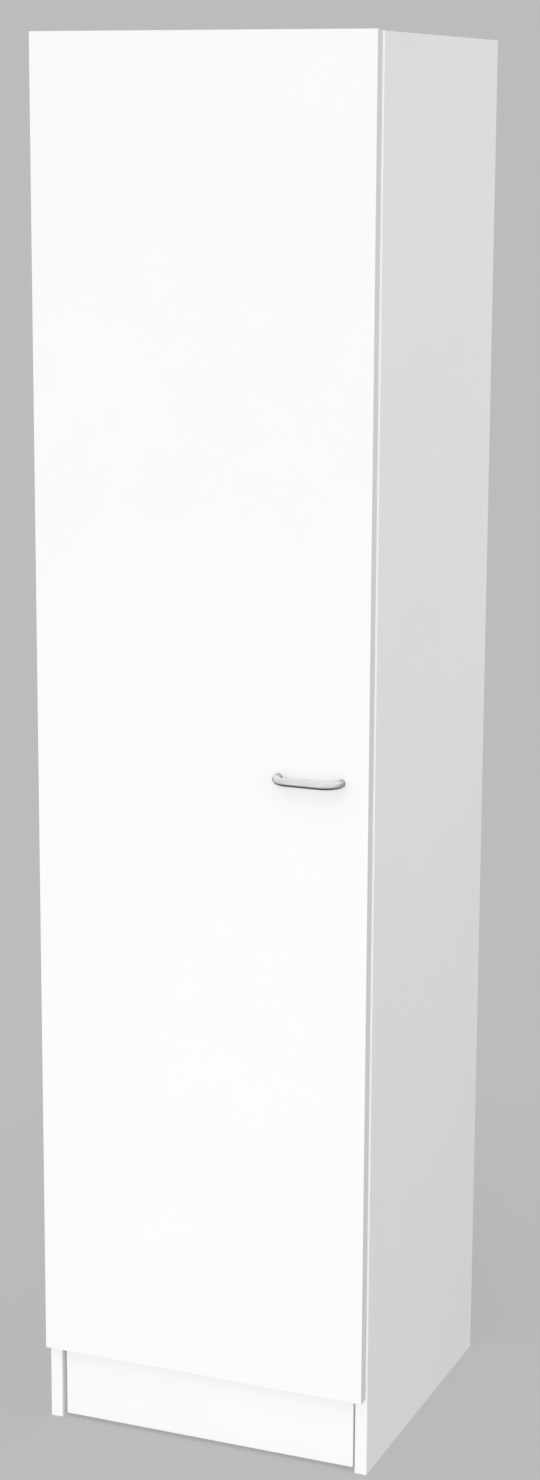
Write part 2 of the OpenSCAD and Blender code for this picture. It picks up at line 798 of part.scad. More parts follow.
// Door
module door_panel() color(board_white)
    difference() {
        placed() block(
            [door_x0 + band_t, door_y0, door_z0 + band_t],
            [door_x1 - band_t, door_y1, door_z1 - band_t]
        );
        for (i = [1:4]) at_hinge(i) {
            translate([0, past, 0]) cup_plan(cup_d/2, cup_deep + past);
            for (dz = [-ear_dz, ear_dz])
                translate([ear_dx, pin_deep, dz]) rotate([90, 0, 0]) screw_hole(cup_screw_l - flange_t);
        }
        placed() for (x = handle_x)
            translate([x, door_y0 - past, handle_z]) rotate([-90, 0, 0])
                cylinder(d = handle_screw_d + 2*slack_clear, h = door_t + 2*past);
    }

module door_edge_bands() color(band_white) placed() {
    for (s = [0, 1])
        mirror([s, 0, 0]) translate([door_x0, door_y0, door_z0])
            linear_extrude(door_z1 - door_z0) polygon(swap(band_points(door_t)));
    along_x(door_x0 + band_t + band_joint, door_x1 - door_x0 - 2*(band_t + band_joint)) {
        translate([door_y0, door_z0]) polygon(band_points(door_t));
        translate([door_y0, door_z1]) mirror([0, 1]) polygon(band_points(door_t));
    }
}

module door_bumpers() color(plastic_white) placed()
    for (z = [door_z0 + bumper_end, door_z1 - bumper_end])
        translate([door_x1 - bumper_in, door_y1, z]) rotate([-90, 0, 0])
            cylinder(d = bumper_d, h = bumper_t);

// Handle, drawn with x along the bar and y away from the door
foot_l = handle_reach - handle_bend_r;

module handle_leg() {
    rotate([-90, 0, 0]) cylinder(d = handle_d, h = foot_l);
    translate([handle_bend_r, foot_l, 0]) rotate([0, 0, 90])
        rotate_extrude(angle = 90) translate([handle_bend_r, 0]) circle(d = handle_d);
}

module handle() color(satin_metal) placed()
    translate([handle_x[0], door_y0, handle_z]) mirror([0, 1, 0])
        difference() {
            union() {
                handle_leg();
                translate([handle_pitch, 0, 0]) mirror([1, 0, 0]) handle_leg();
                translate([handle_bend_r, handle_reach, 0]) rotate([0, 90, 0])
                    cylinder(d = handle_d, h = handle_pitch - 2*handle_bend_r);
            }
            for (x = [0, handle_pitch])
                translate([x, -past, 0]) rotate([-90, 0, 0])
                    cylinder(d = handle_screw_d + 2*hole_clear, h = handle_screw_in + end_clear + past);
        }

module handle_screws() color(zinc) placed()
    for (x = handle_x)
        translate([x, door_y1, handle_z]) rotate([-90, 0, 0])
            screw(handle_screw_d, door_t + handle_screw_in, handle_screw_head_d, handle_screw_head);

side_panel_left();
side_panel_right();
top_panel();
bottom_panel();
fixed_shelf();
for (i = [1:4]) adjustable_shelf(i);
plinth_panel();
plinth_end_bands();
back_panel_lower();
back_panel_upper();
back_joint_strip();
side_edge_band(0);  // side_edge_band_left
side_edge_band(1);  // side_edge_band_right
panel_edge_bands();
shelf_edge_bands();
cam_locks();
cam_bolts();
cam_covers();
wood_dowels();
shelf_pins();
back_nails();
wall_bracket(-1);  // wall_bracket_left
wall_bracket(1);  // wall_bracket_right
wall_bracket_screws();
plinth_bracket(plinth_bracket_x[0]);  // plinth_bracket_left
plinth_bracket(plinth_bracket_x[1]);  // plinth_bracket_right
plinth_screws();
for (i = [1:4]) hinge_plate(i);
for (i = [1:4]) hinge_arm(i);
hinge_plate_screws();
hinge_fixing_screws();
hinge_side_screws();
door_panel();
door_edge_bands();
door_bumpers();
handle();
handle_screws();
for (i = [1:4]) hinge_cup(i);
hinge_pins();
hinge_cup_screws();
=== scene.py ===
"""The finish, light and camera of a tall one-door cupboard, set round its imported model."""

import json
import math

import bmesh
import bpy
from mathutils import Matrix, Vector


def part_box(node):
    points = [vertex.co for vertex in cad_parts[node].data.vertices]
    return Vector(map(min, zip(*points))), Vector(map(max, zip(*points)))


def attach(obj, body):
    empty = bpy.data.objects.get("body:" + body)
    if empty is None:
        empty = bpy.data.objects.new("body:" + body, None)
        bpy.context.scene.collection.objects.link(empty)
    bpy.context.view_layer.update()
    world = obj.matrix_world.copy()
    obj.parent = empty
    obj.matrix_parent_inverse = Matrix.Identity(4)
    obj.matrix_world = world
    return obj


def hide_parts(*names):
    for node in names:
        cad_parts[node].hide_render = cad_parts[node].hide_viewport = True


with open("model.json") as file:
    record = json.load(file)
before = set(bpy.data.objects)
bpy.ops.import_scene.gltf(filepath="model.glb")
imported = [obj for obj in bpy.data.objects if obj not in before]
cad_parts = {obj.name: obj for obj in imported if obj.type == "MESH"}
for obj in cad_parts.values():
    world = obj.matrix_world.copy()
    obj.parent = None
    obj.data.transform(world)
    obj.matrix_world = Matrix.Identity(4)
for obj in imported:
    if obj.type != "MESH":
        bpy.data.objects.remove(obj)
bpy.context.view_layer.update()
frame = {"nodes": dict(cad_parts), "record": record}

nodes = frame["nodes"]
record = frame["record"]
MM = 0.001

# Tones, as linear values
BACKDROP = 0.503
FLOOR_TONE = 0.60
BOARD_WHITE = (0.915, 0.917, 0.922)
BAND_WHITE = (0.922, 0.922, 0.922)
BAND_SHADE = (0.20, 0.20, 0.20)
# Painted shade on the sides of the door's edge bands, which stay white in front
DOOR_BAND_PAINTED_SHADE = (0.757, 0.757, 0.772)
CHIP_DARK = (0.42, 0.30, 0.18)
CHIP_LIGHT = (0.70, 0.56, 0.38)
CHIP_PORE = (0.30, 0.21, 0.12)
SHEET_DARK = (0.25, 0.155, 0.085)
SHEET_LIGHT = (0.43, 0.29, 0.17)
SHEET_STAIN = (0.36, 0.24, 0.14)
PAINT_DARK = (0.84, 0.84, 0.835)
PAINT_LIGHT = (0.88, 0.88, 0.875)
ZINC = (0.66, 0.67, 0.69)
NICKEL = (0.74, 0.73, 0.71)
BAR_DARK = (0.86, 0.86, 0.86)
BAR_LIGHT = (0.90, 0.90, 0.90)
# The handle's painted shade, for its underside, bends and feet
BAR_SHADE = (0.07, 0.07, 0.07)
WHITE_PLASTIC = (0.85, 0.85, 0.84)
SOFT_PLASTIC = (0.72, 0.72, 0.71)
BEECH_DARK = (0.62, 0.44, 0.27)
BEECH_LIGHT = (0.76, 0.60, 0.42)

# Share of a tone that is left in its darker patches
FOIL_DIM = 0.985
METAL_DIM = 0.93
PLASTIC_DIM = 0.96

# Share of a second tone where it is strongest: in pores, stains and a band's shaded patches
PORE_SHARE = 0.5
STAIN_SHARE = 0.35
BAND_SHARE = 0.02

# Roughness, from the glossiest spots to the dullest, and how metallic the handle's finish is
FOIL_ROUGH = (0.40, 0.52)
CHIP_ROUGH = 0.85
BAND_ROUGH = (0.32, 0.46)
SHEET_ROUGH = (0.50, 0.68)
ZINC_ROUGH = (0.30, 0.46)
NICKEL_ROUGH = (0.16, 0.26)
BAR_ROUGH = (0.42, 0.52)
WHITE_PLASTIC_ROUGH = (0.36, 0.48)
SOFT_PLASTIC_ROUGH = (0.49, 0.61)
BEECH_ROUGH = (0.55, 0.70)
BAR_METAL = 0.6

# Height of the surface grain, in millimetres, and the pearl grain's share of the board's
BOARD_DEPTH = 0.25
PEARL_SHARE = 0.12
BAND_DEPTH = 0.02
SHEET_DEPTH = 0.06
ZINC_DEPTH = 0.02
NICKEL_DEPTH = 0.01
BAR_DEPTH = 0.006
PLASTIC_DEPTH = 0.02
BEECH_DEPTH = 0.05

# The parts of a noise's range that are stretched from none to full
MOST = (0.30, 0.70)
CENTRE = (0.35, 0.65)
UPPER = (0.45, 0.75)

# Small pieces, in millimetres: each screw's shank diameter and head height, a cover's plate and
# peg, the width of a broken edge, the foil's thickness on an end, and gaps that count as none
SCREWS = {
    "hinge_plate_screws": (4.9, 2.0),
    "hinge_fixing_screws": (4.0, 2.0),
    "hinge_side_screws": (4.8, 0.6),
    "hinge_cup_screws": (3.5, 1.2),
    "handle_screws": (4.0, 2.2),
    "wall_bracket_screws": (3.5, 2.0),
    "plinth_screws": (3.5, 2.0),
}
COVER_THICK = 1.0
PEG_D = 3.1
EDGE_BREAK = 0.3
TOP_FOIL = 0.2
SAME_POINT = 0.005
WELD = 0.002

# Screws: the point's width as a part of the shank's, and its length in shank radii
POINT_PART = 3
POINT_LENGTH = 2
# Screw heads: the cross at its mouth and at its bottom, and the rounded rim, as shares of the head
MOUTH_ARM = 0.58
MOUTH_HALF = 0.13
BOTTOM_ARM = 0.38
BOTTOM_HALF = 0.07
BOTTOM_HEIGHT = 0.3
HEAD_ROUND = 0.7

# Cam covers and bumpers: rounded rims and the ring's groove, as shares of the piece
COVER_ROUND = 0.6
GROOVE_HEIGHT = 0.7
GROOVE_OUTER = (0.72, 0.68)
GROOVE_INNER = (0.62, 0.58)
BUMPER_RIM = 0.3
DOME_STEP = math.radians(12)
DOME_POINTS = 8

# Turned shapes: steps in a full turn and on a rim, and the angle above which an edge stays sharp
TURN_STEPS = 28
RIM_STEPS = 5
SHARP = math.radians(38)

# Pressed metal: the angle below which faces count as flat, and above which an edge is broken
FLAT_BELOW = math.radians(0.5)
BREAK_ABOVE = math.radians(40)
BREAK_SEGMENTS = 2

# Surface grain, in repeats per metre, or along X, Y and Z where it has a direction.
# A metal's patches are PATCH times as large as its spots, and a stretch scales the grain's axes.
CLOUD = 6
PEARL = 1400
GLOSS = 300
FLAKES = 520
FLAKE_STRETCH = (1, 1, 1.6)
PORES = 1500
FIBRES = 420
FIBRE_STRETCH = (1, 1, 0.35)
STAINS = 14
MILLING = (900, 900, 12)
BAND_PATCHES = 9
ZINC_SPOTS = 260
NICKEL_SPOTS = 500
PATCH = 8
PLASTIC_GRAIN = 2200
PLASTIC_PATCHES = 60
BRUSHING = (14, 900, 2600)
BAR_PATCHES = 90
FLECKS = (60, 700, 700)

# Which way a surface faces, from 0 to 1 along an axis: foil and paint lie above FACES,
# and a band goes from its side tone to its front tone over BAND_TURN; on the door's bands the side tone
# is painted shade
FACES = 0.5
BAND_TURN = (0.2, 0.6)

# Handle: painted shade, whose share goes from the first value to the second as the surface turns
# between two ways of facing, along Z underneath and along X at its ends
BAR_UNDER = (1, 0, -0.5, -0.1)
BAR_LEFT = (0, 0.95, -0.6, -0.92)
BAR_RIGHT = (0, 0.7, 0.7, 0.98)
# The painted shade's share at its feet, and where it starts and ends, in millimetres from the door
FOOT_DARK = 0.5
FOOT_FROM = 16
FOOT_TO = 6

# Camera, fitted to the photo's outlines: where it stands in the model's frame, its heading, its lens
# in pixels of the photo, its sensor in millimetres, and how near and far it sees in metres
CAMERA_AT = Vector((1.52209, -3.70723, 1.89001))
CAMERA_AZIMUTH = math.radians(22.177)
CAMERA_ELEVATION = math.radians(12.3898)
CAMERA_ROLL = math.radians(0.2691)
PHOTO_HEIGHT = 1480
FOCAL_PIXELS = 2830.3
SENSOR = 36
CLIP_NEAR = 0.1
CLIP_FAR = 200

# Light: where the sun stands and how wide it is, and the tone that the sun and the sky each give a
# white surface that faces them
SUN_AZIMUTH = math.radians(18.2)
SUN_ELEVATION = math.radians(13)
SUN_SPREAD = math.radians(18)
SUN_LEVEL = 0.450
SUN_TINT = (1.034, 1.0, 0.94)
SKY_LEVEL = 0.635
SKY_TINT = (0.978, 1.0, 1.042)
# Soft lamps: width in metres, power in watts, place, the point that each is turned to, and its
# spread in degrees
LAMPS = {
    "top_softbox": (2.2, 12, (0.1, -3.4, 3.6), (0, -0.25, 1.0), 180),
    "side_softbox": (1.6, 2.2, (2.5, 0.6, 2.0), (0.25, 0, 1.65), 90),
    "front_fill": (1.4, 1.4, (-0.1, -2.6, 0.3), (-0.1, -0.25, 0.35), 90),
}

# Floor: half its width, where its fade to the backdrop starts and ends, in metres, and the
# backdrop's least share of what the camera sees there
FLOOR_HALF = 40.0
FADE_FROM = 0.3
FADE_TO = 1.5
FADE_LEAST = 0.65


class Shader:
    """A material's node tree, with short ways to add and join nodes."""

    def __init__(self, name):
        self.material = bpy.data.materials.new(name)
        self.material.use_nodes = True
        self.tree = self.material.node_tree
        self.bsdf = self.tree.nodes["Principled BSDF"]
        self.output = self.tree.nodes["Material Output"]

    def add(self, kind, **settings):
        """Adds a node of this kind with the settings given."""
        node = self.tree.nodes.new(kind)
        for key, value in settings.items():
            setattr(node, key, value)
        return node

    def join(self, source, target):
        self.tree.links.new(source, target)

    def feed(self, socket, value):
        """Joins a node's output to a socket, or sets the socket to a plain value."""
        if isinstance(value, bpy.types.NodeSocket):
            self.join(value, socket)
        else:
            socket.default_value = value

    def place(self):
        """The piece's own coordinates, in metres, which stay with it when it moves."""
        return self.add("ShaderNodeTexCoord").outputs["Object"]

    def facing(self):
        """The surface's direction in the piece's own coordinates."""
        return self.add("ShaderNodeTexCoord").outputs["Normal"]

    def scaled(self, vector, scale):
        """Coordinates stretched by a factor along each axis."""
        node = self.add("ShaderNodeMapping")
        self.feed(node.inputs["Vector"], vector)
        node.inputs["Scale"].default_value = scale
        return node.outputs["Vector"]

    def noise(self, vector, scale, detail, roughness=0.5):
        """A soft cloudy value, from 0 to 1."""
        node = self.add("ShaderNodeTexNoise")
        self.feed(node.inputs["Vector"], vector)
        node.inputs["Scale"].default_value = scale
        node.inputs["Detail"].default_value = detail
        node.inputs["Roughness"].default_value = roughness
        return node.outputs["Fac"]

    def cells(self, vector, scale):
        """Cells of one colour each."""
        node = self.add("ShaderNodeTexVoronoi")
        self.feed(node.inputs["Vector"], vector)
        node.inputs["Scale"].default_value = scale
        return node.outputs["Color"]

    def math(self, operation, a, b=0.0):
        node = self.add("ShaderNodeMath", operation=operation)
        self.feed(node.inputs[0], a)
        self.feed(node.inputs[1], b)
        return node.outputs[0]

    def spread(self, value, low, high, start=0.0, end=1.0):
        """Maps a value from start..end to low..high."""
        node = self.add("ShaderNodeMapRange")
        self.feed(node.inputs["Value"], value)
        node.inputs["From Min"].default_value = start
        node.inputs["From Max"].default_value = end
        node.inputs["To Min"].default_value = low
        node.inputs["To Max"].default_value = high
        return node.outputs["Result"]

    def parts(self, vector):
        """The X, Y and Z of a vector, or the channels of a colour."""
        node = self.add("ShaderNodeSeparateXYZ")
        self.feed(node.inputs[0], vector)
        return node.outputs

    def blend(self, share, a, b):
        """A colour that goes from a to b as share goes from 0 to 1."""
        node = self.add("ShaderNodeMix", data_type="RGBA")
        self.feed(node.inputs["Factor"], share)
        self.feed(node.inputs["A"], (*a, 1) if isinstance(a, tuple) else a)
        self.feed(node.inputs["B"], (*b, 1) if isinstance(b, tuple) else b)
        return node.outputs["Result"]

    def bump(self, height, depth):
        """The surface's direction, tipped by a height that stands for this depth in metres."""
        node = self.add("ShaderNodeBump")
        self.feed(node.inputs["Height"], height)
        node.inputs["Distance"].default_value = depth
        node.inputs["Strength"].default_value = 1.0
        return node.outputs["Normal"]

    def set(self, **sockets):
        """Sets the main shader's sockets; an underscore in a name stands for a space."""
        for name, value in sockets.items():
            if isinstance(value, tuple):
                value = (*value, 1)
            self.feed(self.bsdf.inputs[name.replace("_", " ")], value)
        return self.material


def dimmed(colour, share):
    """A colour at this share of its tone."""
    return tuple(share * channel for channel in colour)


def foil_look(s, colour):
    """White melamine foil: fine pearl grain and a faint unevenness of tone and gloss."""
    place = s.place()
    cloud = s.noise(place, CLOUD, detail=3)
    pearl = s.noise(place, PEARL, detail=2, roughness=0.6)
    tone = s.blend(s.spread(cloud, 0, 1, *MOST), dimmed(colour, FOIL_DIM), colour)
    rough = s.spread(s.noise(place, GLOSS, detail=2), *FOIL_ROUGH, *MOST)
    return tone, rough, pearl


def chip_look(s):
    """Bare chipboard: pressed flakes in light and dark tan, with open pores."""
    place = s.place()
    flakes = s.parts(s.cells(s.scaled(place, FLAKE_STRETCH), FLAKES))[0]
    fine = s.noise(place, PORES, detail=3)
    tone = s.blend(flakes, CHIP_DARK, CHIP_LIGHT)
    tone = s.blend(s.spread(fine, 0, PORE_SHARE, *UPPER), tone, CHIP_PORE)
    return tone, fine


def board_material(name, axis, white_top=False):
    """A board with foil on its two faces across the axis, and bare chipboard elsewhere.

    With white_top, the ends that face up at the cupboard's top have foil too.
    """
    s = Shader(name)
    foil, foil_rough, pearl = foil_look(s, BOARD_WHITE)
    chip, pores = chip_look(s)
    facing = s.parts(s.facing())
    foiled = s.math("GREATER_THAN", s.math("ABSOLUTE", facing["XYZ".index(axis)]), FACES)
    if white_top:
        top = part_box("top_panel")[1].z
        high = s.math("GREATER_THAN", s.parts(s.place())[2], top - TOP_FOIL * MM)
        up = s.math("GREATER_THAN", facing[2], FACES)
        foiled = s.math("MAXIMUM", foiled, s.math("MULTIPLY", high, up))
    bare = s.math("SUBTRACT", 1.0, foiled)
    grain = s.math("MULTIPLY", pearl, PEARL_SHARE)
    height = s.math("ADD", grain, s.math("MULTIPLY", bare, pores))
    return s.set(
        Base_Color=s.blend(foiled, chip, foil),
        Roughness=s.math("MAXIMUM", foil_rough, s.math("MULTIPLY", bare, CHIP_ROUGH)),
        Normal=s.bump(height, BOARD_DEPTH * MM),
    )


def band_material(name, front_colour, side_tone_or_shade):
    """A satin plastic edge band with faint milling lines, in one tone in front and one on its sides; on
    the door the side tone is painted shade.
    """
    s = Shader(name)
    place = s.place()
    lines = s.noise(s.scaled(place, MILLING), 1, detail=2)
    patches = s.noise(place, BAND_PATCHES, detail=2)
    front = s.math("ABSOLUTE", s.parts(s.facing())[1])
    tone = s.blend(s.spread(front, 0, 1, *BAND_TURN), side_tone_or_shade, front_colour)
    tone = s.blend(s.spread(patches, BAND_SHARE, 0), tone, BAND_SHADE)
    return s.set(
        Base_Color=tone,
        Roughness=s.spread(lines, *BAND_ROUGH),
        Normal=s.bump(lines, BAND_DEPTH * MM),
    )


def sheet_material():
    """Thin fibreboard: painted white on the cupboard's inside, bare brown behind."""
    s = Shader("back_sheet_look")
    place = s.place()
    fibres = s.noise(s.scaled(place, FIBRE_STRETCH), FIBRES, detail=4, roughness=0.7)
    cloud = s.noise(place, STAINS, detail=3)
    brown = s.blend(s.spread(fibres, 0, 1, *MOST), SHEET_DARK, SHEET_LIGHT)
    brown = s.blend(s.spread(cloud, 0, STAIN_SHARE, *CENTRE), brown, SHEET_STAIN)
    white = s.blend(cloud, PAINT_DARK, PAINT_LIGHT)
    painted = s.math("LESS_THAN", s.parts(s.facing())[1], -FACES)
    return s.set(
        Base_Color=s.blend(painted, brown, white),
        Roughness=s.spread(fibres, *SHEET_ROUGH),
        Normal=s.bump(fibres, SHEET_DEPTH * MM),
    )


def metal_material(name, colour, rough, grain, depth):
    """A plated metal: its gloss varies a little from place to place."""
    s = Shader(name)
    place = s.place()
    spots = s.noise(place, grain, detail=3, roughness=0.6)
    patches = s.noise(place, grain / PATCH, detail=2)
    tone = s.blend(patches, dimmed(colour, METAL_DIM), colour)
    return s.set(
        Base_Color=tone,
        Metallic=1.0,
        Roughness=s.spread(spots, *rough, *MOST),
        Normal=s.bump(spots, depth * MM),
    )


def handle_material():
    """Satin metal with fine lines along the bar, and painted shade underneath, round its bends and on
    its feet.
    """
    s = Shader("handle_look")
    place = s.place()
    facing = s.parts(s.facing())
    lines = s.noise(s.scaled(place, BRUSHING), 1, detail=3, roughness=0.6)
    tone = s.blend(s.noise(place, BAR_PATCHES, detail=2), BAR_DARK, BAR_LIGHT)
    # Painted shade: darker underneath, on the outer sides of the bends and towards the feet
    under = s.spread(facing[2], *BAR_UNDER)
    left_end = s.spread(facing[0], *BAR_LEFT)
    right_end = s.spread(facing[0], *BAR_RIGHT)
    door_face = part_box("door_panel")[0].y
    foot_from = door_face - FOOT_FROM * MM
    foot_to = door_face - FOOT_TO * MM
    feet = s.spread(s.parts(place)[1], 0, FOOT_DARK, foot_from, foot_to)
    bar_painted_shade = s.math("MAXIMUM", under, feet)
    for end in (left_end, right_end):
        bar_painted_shade = s.math("MAXIMUM", bar_painted_shade, end)
    return s.set(
        Base_Color=s.blend(bar_painted_shade, tone, BAR_SHADE),
        Metallic=BAR_METAL,
        Roughness=s.spread(lines, *BAR_ROUGH, *MOST),
        Normal=s.bump(lines, BAR_DEPTH * MM),
    )


def plastic_material(name, colour, rough):
    """A moulded plastic with a fine spark-eroded texture."""
    s = Shader(name)
    place = s.place()
    grain = s.noise(place, PLASTIC_GRAIN, detail=2)
    patches = s.noise(place, PLASTIC_PATCHES, detail=2)
    tone = s.blend(patches, dimmed(colour, PLASTIC_DIM), colour)
    return s.set(
        Base_Color=tone,
        Roughness=s.spread(grain, *rough, *MOST),
        Normal=s.bump(grain, PLASTIC_DEPTH * MM),
    )


def beech_material():
    """Turned beech with its short dark flecks along the dowel."""
    s = Shader("beech_look")
    flecks = s.noise(s.scaled(s.place(), FLECKS), 1, detail=3, roughness=0.6)
    tone = s.blend(s.spread(flecks, 0, 1, *CENTRE), BEECH_DARK, BEECH_LIGHT)
    return s.set(
        Base_Color=tone,
        Roughness=s.spread(flecks, *BEECH_ROUGH),
        Normal=s.bump(flecks, BEECH_DEPTH * MM),
    )


def dress(material, *names):
    """Gives each named CAD node the material."""
    for name in names:
        for slot in nodes[name].material_slots:
            slot.material = material


def numbered(name):
    """The names of a group of four alike nodes."""
    return [f"{name}_{i}" for i in range(1, 5)]


def dress_all():
    """Gives every CAD node its material."""
    dress(board_material("side_board", "X", white_top=True), "side_panel_left", "side_panel_right")
    dress(
        board_material("flat_board", "Z"),
        "top_panel",
        "bottom_panel",
        "fixed_shelf",
        *numbered("adjustable_shelf"),
    )
    dress(board_material("upright_board", "Y"), "plinth_panel", "door_panel")
    dress(
        band_material("carcass_band", BAND_WHITE, BAND_WHITE),
        "side_edge_band_left",
        "side_edge_band_right",
        "plinth_end_bands",
        "panel_edge_bands",
        "shelf_edge_bands",
    )
    # The door's bands get painted shade on their sides
    dress(band_material("door_band", BAND_WHITE, DOOR_BAND_PAINTED_SHADE), "door_edge_bands")
    dress(sheet_material(), "back_panel_lower", "back_panel_upper")
    zinc = metal_material("zinc_look", ZINC, ZINC_ROUGH, ZINC_SPOTS, ZINC_DEPTH)
    dress(
        zinc,
        "cam_locks",
        "cam_bolts",
        "back_nails",
        "wall_bracket_left",
        "wall_bracket_right",
        "wall_bracket_screws",
        "plinth_bracket_left",
        "plinth_bracket_right",
        "plinth_screws",
        "hinge_plate_screws",
        "hinge_cup_screws",
        "handle_screws",
    )
    nickel = metal_material("nickel_look", NICKEL, NICKEL_ROUGH, NICKEL_SPOTS, NICKEL_DEPTH)
    dress(
        nickel,
        *numbered("hinge_plate"),
        *numbered("hinge_arm"),
        *numbered("hinge_cup"),
        "hinge_fixing_screws",
        "hinge_side_screws",
        "hinge_pins",
    )
    dress(handle_material(), "handle")
    white_plastic = plastic_material("white_plastic_look", WHITE_PLASTIC, WHITE_PLASTIC_ROUGH)
    dress(white_plastic, "back_joint_strip", "cam_covers", "shelf_pins")
    dress(plastic_material("soft_plastic_look", SOFT_PLASTIC, SOFT_PLASTIC_ROUGH), "door_bumpers")
    dress(beech_material(), "wood_dowels")


def solids(name):
    """The boxes of a node's separate solids, in order of place."""
    mesh = bmesh.new()
    mesh.from_mesh(nodes[name].data)
    bmesh.ops.remove_doubles(mesh, verts=mesh.verts, dist=SAME_POINT * MM)
    mesh.verts.index_update()
    seen = set()
    boxes = []
    for start in mesh.verts:
        if start.index in seen:
            continue
        seen.add(start.index)
        group = [start]
        for vert in group:
            for edge in vert.link_edges:
                other = edge.other_vert(vert)
                if other.index not in seen:
                    seen.add(other.index)
                    group.append(other)
        boxes.append([Vector([pick(v.co[i] for v in group) for i in range(3)]) for pick in (min, max)])
    mesh.free()
    return sorted(boxes, key=lambda box: [round(x, 4) for x in box[0]])


def ring(mesh, radius, height):
    """A circle of vertices round Z."""
    turns = (2 * math.pi * i / TURN_STEPS for i in range(TURN_STEPS))
    return [mesh.verts.new((radius * math.cos(a), radius * math.sin(a), height)) for a in turns]


def bridge(mesh, lower, upper):
    """Faces between two loops of as many vertices."""
    for i in range(len(lower)):
        mesh.faces.new((lower[i - 1], lower[i], upper[i], upper[i - 1]))


def lathe(mesh, profile):
    """Turns (radius, height) points round Z, from the lower end up, and gives back the last ring."""
    rings = [ring(mesh, radius, height) for radius, height in profile]
    mesh.faces.new(reversed(rings[0]))
    for lower, upper in zip(rings, rings[1:]):
        bridge(mesh, lower, upper)
    return rings[-1]


def rounded(radius, top, r):
    """Profile points round the top edge of a head, from its rim inwards."""
    turns = (math.pi / 2 * i / RIM_STEPS for i in range(RIM_STEPS + 1))
    return [(radius - r + r * math.cos(a), top - r + r * math.sin(a)) for a in turns]


def cross_outline(mesh, arm, half, height):
    """The twelve vertices of a cross with arms of this length and half width."""
    corners = [(arm, -half), (arm, half), (half, half)]
    turned = [Matrix.Rotation(math.pi / 2 * q, 2) @ Vector(c) for q in range(4) for c in corners]
    return [mesh.verts.new((x, y, height)) for x, y in turned]


def draw_screw(mesh, shank_r, length, head_r, head):
    """A pan-head screw along Z with a cross recess, its head standing on z = 0."""
    tip = [(shank_r / POINT_PART, -length), (shank_r, -length + POINT_LENGTH * shank_r)]
    top = rounded(head_r, head, HEAD_ROUND * head)
    rim = lathe(mesh, tip + [(shank_r, 0), (head_r, 0)] + top)
    mouth = cross_outline(mesh, MOUTH_ARM * head_r, MOUTH_HALF * head_r, head)
    bottom = cross_outline(mesh, BOTTOM_ARM * head_r, BOTTOM_HALF * head_r, BOTTOM_HEIGHT * head)
    pairs = [(loop[i - 1], loop[i]) for loop in (rim, mouth) for i in range(len(loop))]
    edges = [mesh.edges.get(pair) or mesh.edges.new(pair) for pair in pairs]
    bmesh.ops.triangle_fill(mesh, edges=edges, use_beauty=True)
    bridge(mesh, bottom, mouth)
    mesh.faces.new(bottom)


def draw_cover(mesh, radius, thick, peg_r, peg):
    """A cam's cover cap with a rounded rim and a shallow ring, its peg below z = 0."""
    rim = rounded(radius, thick, COVER_ROUND * thick)
    low = GROOVE_HEIGHT * thick
    down = [(share * radius, height) for share, height in zip(GROOVE_OUTER, (thick, low))]
    up = [(share * radius, height) for share, height in zip(GROOVE_INNER, (low, thick))]
    groove = down + up
    mesh.faces.new(lathe(mesh, [(peg_r, -peg), (peg_r, 0), (radius, 0)] + rim + groove))


def draw_bumper(mesh, radius, thick):
    """A soft domed bumper that stands on z = 0."""
    rim = BUMPER_RIM * thick
    turns = (DOME_STEP * i for i in range(DOME_POINTS))
    dome = [(radius * math.cos(a), rim + (thick - rim) * math.sin(a)) for a in turns]
    mesh.faces.new(lathe(mesh, [(radius, 0)] + dome))


def middle(low, high, **known):
    """The middle of a box, with any named coordinate set to a known value."""
    centre = (low + high) / 2
    for axis, value in known.items():
        setattr(centre, axis, value)
    return centre


def put(mesh, first, seat, way):
    """Turns what was drawn after the first vertices from Z to the way given and moves it to its seat."""
    mesh.verts.ensure_lookup_table()
    matrix = Matrix.Translation(seat) @ way.to_track_quat("Z", "Y").to_matrix().to_4x4()
    bmesh.ops.transform(mesh, matrix=matrix, verts=mesh.verts[first:])


def body_of(name):
    """The body that a CAD node rides on."""
    return next(body for body, members in record["behaviour"]["bodies"].items() if name in members)


def replace_node(name, mesh):
    """Makes the drawn mesh the piece that stands for a CAD node, on its body and in its finish."""
    bmesh.ops.recalc_face_normals(mesh, faces=mesh.faces)
    for face in mesh.faces:
        face.smooth = True
    for edge in mesh.edges:
        edge.smooth = edge.calc_face_angle(0) < SHARP
    data = bpy.data.meshes.new(name + "_detail")
    mesh.to_mesh(data)
    mesh.free()
    data.materials.append(nodes[name].material_slots[0].material)
    piece = bpy.data.objects.new(name + "_detail", data)
    bpy.context.scene.collection.objects.link(piece)
    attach(piece, body_of(name))
    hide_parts(name)


def make_screws():
    """Draws every screw; along X or Y its head is at the high end, along Z at the low end."""
    for name, (shank_d, head) in SCREWS.items():
        mesh = bmesh.new()
        for low, high in solids(name):
            size = high - low
            axis = max(range(3), key=lambda i: size[i])
            way = Vector((axis == 0, axis == 1, -(axis == 2)))
            seat = middle(low, high) + way * (size[axis] / 2 - head * MM)
            first = len(mesh.verts)
            draw_screw(mesh, shank_d / 2 * MM, size[axis] - head * MM, size[axis - 1] / 2, head * MM)
            put(mesh, first, seat, way)
        replace_node(name, mesh)


def make_covers():
    """Draws the cam covers, which hang with their rounded side down."""
    mesh = bmesh.new()
    for low, high in solids("cam_covers"):
        size = high - low
        first = len(mesh.verts)
        draw_cover(mesh, size.x / 2, COVER_THICK * MM, PEG_D / 2 * MM, size.z - COVER_THICK * MM)
        put(mesh, first, middle(low, high, z=low.z + COVER_THICK * MM), Vector((0, 0, -1)))
    replace_node("cam_covers", mesh)


